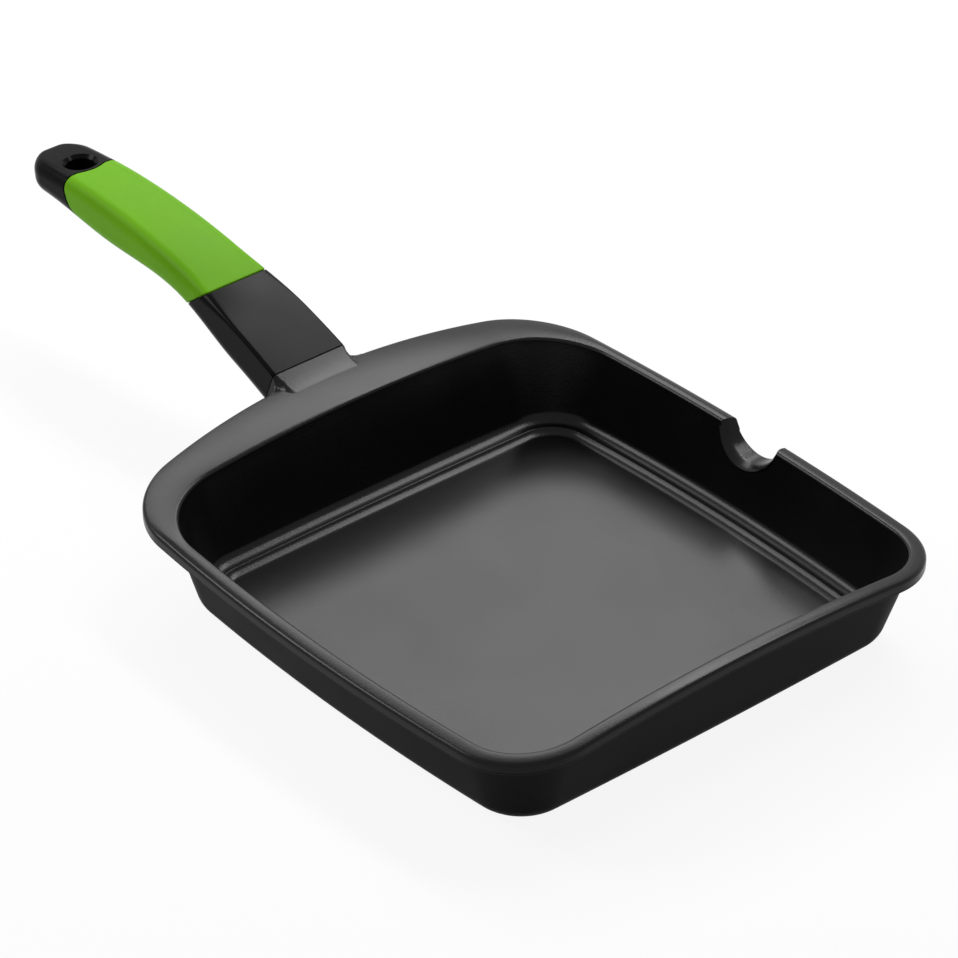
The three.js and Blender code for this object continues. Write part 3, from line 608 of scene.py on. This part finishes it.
def saddle_rings(low):
    """Sections of the saddle from the flange to the joint, closed by a flat underside.

    Its top is the rim's arch plus the height of a circle that leaves the flange level. Towards the
    sides that height falls off smoothly, steeply at the joint and gently on the flange."""
    on_flange = np.linspace(SADDLE_SWEEP, STUB_RAMP, SADDLE_ROWS)[:-1]
    away = np.concatenate([on_flange, np.linspace(STUB_RAMP, FIT, SADDLE_FLARE_ROWS)])[:, None]
    turn, part = np.minimum(away / STUB_RAMP, 1), away / SADDLE_SWEEP
    half = NECK_HALF_WIDTH + STUB_FLARE * (1 - np.sqrt(1 - turn**2))
    x = half * np.linspace(1, -1, SADDLE_STEPS)
    spread = SADDLE_SPREAD * part
    share = (NECK_HALF_WIDTH + spread / 2 - np.abs(x)) / (SADDLE_FALL + spread)
    share = smooth(np.clip(share, 0, 1))
    rise = saddle_radius - np.sqrt(saddle_radius**2 - (SADDLE_SWEEP - away) ** 2)
    level_top = (rim_top - rim_height(x)) * (1 - part)
    top = rim_height(x) + share * (rise + level_top) - SADDLE_DIP * (1 - share)
    round_x = np.concatenate([x, x[:, ::-1]], axis=1)
    round_z = np.concatenate([top, np.full_like(x, low)], axis=1)
    return np.stack(np.broadcast_arrays(round_x, joint_y + away, round_z), axis=-1)


stub = piece("handle_stub", stub_skin, skin(saddle_rings(rim_top - RIM_BAND + FIT)))
print("saddle with a radius of", round(saddle_radius, 1), "mm")

# %% [markdown]
# ## The sleeve's edges
# The sleeve starts on a line that leans back down the flanks. At the rear it stops short of
# the hang hole, is scooped out round its collar, and curves forward underneath. Both edges depend on
# how deep a point of the section lies, and the section depends a little on the station. So the
# station of each edge point is found by a few rounds of trying: take a station, see
# how deep the point is there, and move to where the edge lies at that depth.

# %% Edges of the sleeve
SLEEVE_WALL, SLEEVE_FRONT, SLEEVE_LEAN, SLEEVE_FROM_HOLE = 2.6, 51.5, 16, 7.6
SLEEVE_REAR_ROUND, SLEEVE_REAR_DROP, SCOOP_BLEND = 16, 2, 2.5
TRIES = 14
rear_at = hole_at - SLEEVE_FROM_HOLE


def front_edge(gap):
    """Station of the front edge round the section: it goes back by the lean as it goes down."""
    station = np.full(len(ACROSS), float(SLEEVE_FRONT))
    for _ in range(TRIES):
        above = section(station, 0)[1]
        station = SLEEVE_FRONT + gap - above * SLEEVE_LEAN / NECK_THICK
    return station


def rear_edge(gap):
    """Station of the rear edge round the section: an arc that goes forward as it goes down, blended
    with a circle round the hang hole by a smooth minimum of the two."""
    station = np.full(len(ACROSS), float(rear_at))
    for _ in range(TRIES):
        x, above = section(station, 0)
        down = np.clip(-above - SLEEVE_REAR_DROP, 0, SLEEVE_REAR_ROUND)
        arc = rear_at - gap - SLEEVE_REAR_ROUND + np.sqrt(SLEEVE_REAR_ROUND**2 - down**2)
        scoop = hole_at - np.sqrt(np.maximum((collar + gap) ** 2 - x**2, 0))
        mix = np.clip(0.5 + 0.5 * (scoop - arc) / SCOOP_BLEND, 0, 1)
        station = (station + scoop + (arc - scoop) * mix - SCOOP_BLEND * mix * (1 - mix)) / 2
    return station


print("sleeve from station", front_edge(FIT).min().round(1), "to", rear_edge(FIT).max().round(1))

# %% [markdown]
# ## The handle's moulding
# The black core is one moulding: a square neck, a recess for the sleeve and a tail with a hole to
# hang the pan by. Rings run along it from the joint to the tail's end, and step down into the recess
# and up again exactly on the sleeve's edges. The hole, the screw's well and the tongue's
# socket are turned and boxed tools, cut out afterwards as drills and mould cores would leave them.

# %% Moulding
CORE_EDGE = 0.4                 # softened edges at the joint and round the recess
CORE_EDGE_ROWS, NECK_ROWS, RECESS_ROWS, TAIL_ROWS = 6, 34, 24, 44

front, rear = front_edge(0), rear_edge(0)
growing, shrinking = pulled(CORE_EDGE, quarter(0, 90, CORE_EDGE_ROWS)[:, None])
neck = inner_shares(NECK_ROWS)[:, None] * (front - 2 * CORE_EDGE) + CORE_EDGE
recess = np.linspace(0, 1, RECESS_ROWS)[:, None]
tail = np.sin(quarter(0, 90, TAIL_ROWS))[1:, None]
stations = np.concatenate([
    growing + 0 * front, neck, front - shrinking, front + (rear - front) * recess,
    rear + growing, rear + CORE_EDGE + (HANDLE_LENGTH - rear - CORE_EDGE) * tail,
])
depths = np.concatenate([
    shrinking, 0 * neck[:, :1], growing, np.full_like(recess, SLEEVE_WALL), shrinking, 0 * tail,
])
core = piece("handle_moulding", skin(on_handle(stations, depths)))
print("moulding:", len(stations), "sections")

# %% Holes in the moulding
SCREW_FROM_TIP, SCREW_SHANK, SCREW_SEAT = 13, 4, 1.4
BORE_FIT, WASHER_WIDTH, COUNTERBORE_FIT = 0.35, 2.15, 1
screw_at = TONGUE_LENGTH - SCREW_FROM_TIP
washer_seat = tongue_under - FIT - SCREW_SEAT
bore = SCREW_SHANK / 2 + BORE_FIT
well = bore + WASHER_WIDTH + COUNTERBORE_FIT
hole, bevel = HOLE_DIAMETER / 2, HOLE_DIAMETER / 2 + 2 * HOLE_BEVEL

tool_x, tool_y, tool_z = np.moveaxis(turned([
    (hole, -BELLY_THICK - WAY_OUT), (hole, -HOLE_BEVEL), (bevel, HOLE_BEVEL), (bevel, WAY_OUT),
]), -1, 0)
lean = hole_at / HANDLE_RADIUS
hole_tool = tilted(
    tool_x,
    -HANDLE_RADIUS * np.sin(lean) + tool_y * np.cos(lean) - tool_z * np.sin(lean),
    HANDLE_RADIUS * (np.cos(lean) - 1) + tool_y * np.sin(lean) + tool_z * np.cos(lean),
)
tool_x, tool_y, tool_z = np.moveaxis(turned([
    (well, washer_seat - WAY_OUT), (well, washer_seat), (bore, washer_seat), (bore, tongue_under),
]), -1, 0)
screw_tool = tilted(tool_x, tool_y - screw_at, tool_z)
socket_x, socket_above = outline(
    TONGUE_WIDTH / 2 + FIT, tongue_top + FIT, tongue_under - FIT, TONGUE_EDGE, TONGUE_EDGE, 0
)
socket_tool = tilted(socket_x, np.array([[WAY_OUT], [-TONGUE_LENGTH - FIT]]), socket_above)
carve(
    core,
    piece("hole_tool", skin(hole_tool)),
    piece("socket_tool", skin(socket_tool)),
    piece("screw_tool", skin(screw_tool)),
)
print("hang hole", HOLE_DIAMETER, "mm, screw well", round(2 * well, 1), "mm")

# %% [markdown]
# ## The sleeve
# The green sleeve is silicone, moulded round the core so that its face runs on flush from the black.
# For each place round the section a profile goes along the outside, rounds the rear edge,
# comes back along the inside and rounds the front edge. That closed profile carried round the
# section is a ring-shaped skin with no open ends. The soft edges are what catch the light.

# %% Sleeve
SLEEVE_EDGE = 0.8
SLEEVE_EDGE_ROWS, SLEEVE_ROWS, LINING_ROWS = 7, 64, 32
thick = SLEEVE_WALL - FIT

front, rear = front_edge(FIT), rear_edge(FIT)
growing, shrinking = pulled(SLEEVE_EDGE, quarter(0, 90, SLEEVE_EDGE_ROWS)[:, None])
way = inner_shares(SLEEVE_ROWS)[:, None]
lining = np.linspace(0, 1, LINING_ROWS)[:, None]
stations = np.concatenate([
    front + growing, front + SLEEVE_EDGE + (rear - front - 2 * SLEEVE_EDGE) * way,
    rear - shrinking, rear + (front - rear) * lining,
])
depths = np.concatenate([shrinking, 0 * way, growing, np.full_like(lining, thick)])
sleeve = piece("grip_skin", skin(on_handle(stations, depths), looped=True))
print("sleeve wall", round(thick, 2), "mm")

# %% [markdown]
# ## On the frame
# Each surface takes the place of its solid, which stays in the frame for contact, hidden.
# Faces that meet gently are shaded as one, and sharp meetings keep their crease.

# %% Put the pieces on the frame
CREASE = np.radians(34)         # faces that meet more sharply than this keep their edge


def dress(body, node):
    """Shades a piece smooth between its creases, and puts it on the frame for a node."""
    body.data.shade_smooth()
    body.data.set_sharp_from_angle(angle=CREASE)
    body.modifiers.new("even_shading", "WEIGHTED_NORMAL").keep_sharp = True
    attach(body, "root")
    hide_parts(node)
    print(body.name, "has", len(body.data.vertices), "points and stands for", node)


dress(casting, "pan_body")
dress(lip, "pan_body")
dress(stub, "pan_body")
dress(core, "handle_core")
dress(sleeve, "grip_sleeve")

# %% [markdown]
# ## Finishes
# A finish is a few nodes: a pattern in the piece's own coordinates drives colour, roughness and a
# fine bump. One helper adds any node, sets its values and joins its inputs. Pattern scales are one
# over a size, because the coordinates are in metres. The real grain of a coating or a mould is about
# a tenth of a millimetre, finer than a pixel, so it is drawn coarser, as far as it needs to show.

# %% Node helpers
def linear(code):
    """An sRGB hex colour as linear red, green, blue and alpha."""
    srgb = np.array([int(code[k : k + 2], 16) for k in (1, 3, 5)]) / 255
    light = np.where(srgb <= 0.04045, srgb / 12.92, ((srgb + 0.055) / 1.055) ** 2.4)
    return (*(float(v) for v in light), 1.0)


def add(tree, kind, inputs, **settings):
    """A new node with its settings; an input is a value, or the output of another node."""
    made = tree.nodes.new("ShaderNode" + kind)
    for name, value in settings.items():
        setattr(made, name, value)
    for name, value in inputs.items():
        if isinstance(value, bpy.types.NodeSocket):
            tree.links.new(value, made.inputs[name])
        else:
            made.inputs[name].default_value = value
    return made


print("white is", linear("#ffffff"))

# %% A finish
PATCH_DETAIL, GRAIN_DETAIL = 3.0, 2.0
NOISE_LOW, NOISE_HIGH = 0.3, 0.7          # noise lies mostly between these
SUM_LOW, SUM_HIGH = 0.7, 1.3              # and so does the sum of two between these
MIX_A, MIX_B, MIXED = 6, 7, 2             # a Mix node's sockets for colours


def coat(name, values, dark, light, patch, grain, bump, rough):
    """A finish whose colour wanders between two hex colours in patches, with a fine grain.

    patch and grain are sizes in millimetres. The grain gives a bump of that height in millimetres,
    and the patches move the roughness between the two ends of rough."""
    material = bpy.data.materials.new(name)
    material.use_nodes = True
    tree = material.node_tree
    shader = tree.nodes["Principled BSDF"]
    for socket, value in values.items():
        shader.inputs[socket].default_value = value
    place = add(tree, "TexCoord", {}).outputs["Object"]
    wide = add(tree, "TexNoise", {"Vector": place, "Scale": 1 / (patch * MM), "Detail": PATCH_DETAIL})
    fine = add(tree, "TexNoise", {"Vector": place, "Scale": 1 / (grain * MM), "Detail": GRAIN_DETAIL})
    both = add(tree, "Math", {0: wide.outputs[0], 1: fine.outputs[0]}, operation="ADD")
    share = add(tree, "MapRange", {"Value": both.outputs[0], "From Min": SUM_LOW, "From Max": SUM_HIGH})
    tint = add(
        tree, "Mix", {0: share.outputs[0], MIX_A: linear(dark), MIX_B: linear(light)}, data_type="RGBA"
    )
    gloss = add(tree, "MapRange", {
        "Value": wide.outputs[0], "From Min": NOISE_LOW, "From Max": NOISE_HIGH,
        "To Min": rough[0], "To Max": rough[1],
    })
    relief = add(tree, "Bump", {"Height": fine.outputs[0], "Strength": 1.0, "Distance": bump * MM})
    tree.links.new(tint.outputs[MIXED], shader.inputs["Base Color"])
    tree.links.new(gloss.outputs[0], shader.inputs["Roughness"])
    tree.links.new(relief.outputs[0], shader.inputs["Normal"])
    return material


print("a finish has patches and a grain")

# %% [markdown]
# ## Coatings of the casting
# Inside, the pan has a sprayed non-stick coating: thin, nearly black and a little rough, so that it
# shows a wide soft reflection and a faint grain. Outside is a plainer dark coating that is
# more matt. Both are the same kind of finish with different numbers.

# %% Coatings
# sprayed fluoropolymer over grit-blasted aluminium: soft sheen, fine pebbled grain
nonstick = coat(
    "nonstick_sprayed_fluoropolymer", {"Specular IOR Level": 0.14},
    dark="#0a0a0b", light="#0f0f10", patch=35, grain=0.9, bump=0.035, rough=(0.23, 0.27),
)
# baked heat-proof lacquer: an even dark grey that mirrors almost nothing
lacquer = coat(
    "outside_baked_lacquer", {"Specular IOR Level": 0.013},
    dark="#1c1c1d", light="#222223", patch=30, grain=0.7, bump=0.015, rough=(0.42, 0.5),
)
casting.data.materials[COATED_INSIDE] = nonstick
casting.data.materials[COATED_OUTSIDE] = lacquer
for body in (lip, stub):
    body.data.materials.append(nonstick)
print("coatings:", nonstick.name, "and", lacquer.name)

# %% [markdown]
# ## Handle finishes
# The moulding is a black phenolic plastic, polished by its mould. The sleeve is
# silicone rubber coloured right through, with a skin that is smooth but not glossy.

# %% Plastic and silicone
# polished phenolic: black with a faint soft gloss
phenolic = coat(
    "handle_moulded_phenolic", {"Specular IOR Level": 0.04},
    dark="#08080a", light="#0d0d0f", patch=22, grain=1.6, bump=0.006, rough=(0.2, 0.25),
)
# moulded silicone: saturated green with a satin skin
silicone = coat(
    "grip_moulded_silicone", {"Specular IOR Level": 0.06},
    dark="#629f0e", light="#68a610", patch=26, grain=0.8, bump=0.006, rough=(0.42, 0.48),
)
core.data.materials.clear()
core.data.materials.append(phenolic)
sleeve.data.materials.append(silicone)
print("handle:", phenolic.name, "and", silicone.name)

# %% [markdown]
# ## Metal pieces
# The steel inlay and the joint's screw, washers and insert keep their solids. They are
# hard to see in use, but they get real metal finishes too.

# %% Metals
metals = {
    # rolled ferritic sheet: pale grey, with a satin sheen in soft patches
    "induction_base": coat(
        "inlay_rolled_ferritic_steel", {"Metallic": 1.0},
        dark="#9fa1a3", light="#b7b9bb", patch=12, grain=0.7, bump=0.006, rough=(0.34, 0.44),
    ),
    # zinc-plated screw: bright and bluish, nearly smooth
    "handle_screw": coat(
        "screw_zinc_plated_steel", {"Metallic": 1.0},
        dark="#a9adb2", light="#c3c6ca", patch=3, grain=0.4, bump=0.003, rough=(0.25, 0.36),
    ),
    # stamped and zinc-plated washer: the same, a little duller
    "flat_washer": coat(
        "washer_stamped_zinc_plated_steel", {"Metallic": 1.0},
        dark="#a2a6ab", light="#bcc0c4", patch=3, grain=0.4, bump=0.004, rough=(0.3, 0.4),
    ),
    # oil-tempered spring steel: darker grey
    "spring_washer": coat(
        "washer_tempered_spring_steel", {"Metallic": 1.0},
        dark="#6f7276", light="#8d9094", patch=3, grain=0.4, bump=0.004, rough=(0.32, 0.42),
    ),
    # turned brass: yellow, with a clear shine
    "threaded_insert": coat(
        "insert_turned_brass", {"Metallic": 1.0},
        dark="#a8873a", light="#c4a350", patch=3, grain=0.4, bump=0.003, rough=(0.25, 0.35),
    ),
}
for node, metal in metals.items():
    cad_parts[node].data.materials.clear()
    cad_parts[node].data.materials.append(metal)
print("metals on", ", ".join(metals))

# %% [markdown]
# ## Floor and surround
# The pan stands on pale studio paper in a white surround. For the camera, and for what a glossy face
# mirrors, both are made white by their own materials, which ask what kind of ray has met them. So the
# picture is white around the object and the object needs no extra light, and the paper still shows
# a part of the shadow.

# %% Floor
PAPER_WHITE = 0.9               # share of the paper's own white; the rest shows the shadow
PAPER_HALF = 3.0                # half its side, in metres
WHITE, PAPER = linear("#ffffff"), linear("#f2f2f2")


def seen(tree):
    """1 for rays from the camera and rays that gloss or glass sends on, 0 for light on the object."""
    rays = add(tree, "LightPath", {}).outputs
    direct = add(tree, "Math", {0: rays["Is Camera Ray"], 1: rays["Is Glossy Ray"]}, operation="MAXIMUM")
    found = {0: direct.outputs[0], 1: rays["Is Transmission Ray"]}
    return add(tree, "Math", found, operation="MAXIMUM").outputs[0]


floor_mesh = bpy.data.meshes.new("studio_floor")
corners = np.array([(-1, -1, 0), (1, -1, 0), (1, 1, 0), (-1, 1, 0)]) * PAPER_HALF
floor_mesh.from_pydata(corners, [], [(0, 1, 2, 3)])
floor = in_scene("studio_floor", floor_mesh)

paper = bpy.data.materials.new("studio_paper")
paper.use_nodes = True
tree = paper.node_tree
tree.nodes.clear()
share = add(tree, "Math", {0: seen(tree), 1: PAPER_WHITE}, operation="MULTIPLY")
matt = add(tree, "BsdfDiffuse", {"Color": PAPER})
white = add(tree, "Emission", {"Color": WHITE, "Strength": 1.0})
mixed = add(tree, "MixShader", {0: share.outputs[0], 1: matt.outputs[0], 2: white.outputs[0]})
add(tree, "OutputMaterial", {"Surface": mixed.outputs[0]})
floor_mesh.materials.append(paper)
print("paper", 2 * PAPER_HALF, "m wide")

# %% Surround
AMBIENT = 0.06                  # light from the surround on the object
world = bpy.data.worlds.new("studio_surround")
bpy.context.scene.world = world
world.use_nodes = True
tree = world.node_tree
surround = tree.nodes["Background"].inputs
strength = add(tree, "Math", {0: seen(tree), 1: 1 - AMBIENT, 2: AMBIENT}, operation="MULTIPLY_ADD")
surround["Color"].default_value = WHITE
tree.links.new(strength.outputs[0], surround["Strength"])
print("surround at", AMBIENT, "of white for the object's light")

# %% [markdown]
# ## Lamps
# The finish is dark, so what shows its form is what it mirrors. Level faces mirror a wide softbox
# beyond the handle, faces that lean forward mirror a long strip, and rounds that lean to the camera's
# left mirror a square one there. The gaps between the three draw the thin dark lines along the rim.

# %% Lamps
LAMP_HEIGHT = 1.2
LEVEL_PLACE, STRIP_PLACE, LEFT_PLACE = (-0.83, -1.33), (-0.83, -0.29), (0.79, -1.12, 1.1)
LEFT_AIM = (0, 0, 0.03)


def softbox(name, place, aim, size, radiance):
    """A rectangular lamp at a place, facing an aim point. Its power is radiance times pi times area."""
    lamp = bpy.data.lights.new(name, "AREA")
    lamp.shape, lamp.size, lamp.size_y = "RECTANGLE", *size
    lamp.energy = radiance * np.pi * size[0] * size[1]
    made = in_scene(name, lamp)
    made.location = place
    made.rotation_euler = (Vector(aim) - Vector(place)).to_track_quat("-Z", "Y").to_euler()
    return made


def overhead(name, place, size, radiance):
    """A softbox that hangs over a place and faces straight down."""
    return softbox(name, (*place, LAMP_HEIGHT), (*place, 0), size, radiance)


lamps = [
    overhead("level_softbox", LEVEL_PLACE, size=(1.46, 0.8), radiance=5.7),
    overhead("strip_softbox", STRIP_PLACE, size=(0.3, 1.28), radiance=15.5),
    softbox("left_softbox", LEFT_PLACE, LEFT_AIM, size=(0.6, 0.6), radiance=11),
]
print("lamps:", ", ".join(f"{lamp.name} {lamp.data.energy:.1f} W" for lamp in lamps))

# %% [markdown]
# ## Camera
# The camera has the photograph's viewing angle: in front of the pan and to its right, well above the
# rim and about two metres away, with a long lens, so that parallel edges stay nearly parallel.

# %% Camera
IMAGE, SENSOR = 958, 36         # the picture's side in pixels, and the sensor's in millimetres
FOCAL = 4952.7                  # in pixels
CAMERA_BACK = 0.5398, 0.6347, 0.5530      # direction from the pan to the camera
CAMERA_AT = -0.02761, 0.05786, 2.01643    # metres to the right, up and back from the aim point
CAMERA_AIM = 0, 0.0056, 0

back = Vector(CAMERA_BACK).normalized()
right = Vector((0, 0, 1)).cross(back).normalized()
up = back.cross(right)
axes = Matrix((right, up, back)).transposed()
place = axes @ Vector(CAMERA_AT) + Vector(CAMERA_AIM)
camera = in_scene("camera", bpy.data.cameras.new("camera"))
camera.data.sensor_width = SENSOR
camera.data.lens = FOCAL / IMAGE * SENSOR
camera.matrix_world = Matrix.Translation(place) @ axes.to_4x4()
bpy.context.scene.camera = camera
bpy.context.scene.view_settings.view_transform = "Standard"
print("camera", round(place.length, 2), "m away, lens", round(camera.data.lens, 1), "mm")
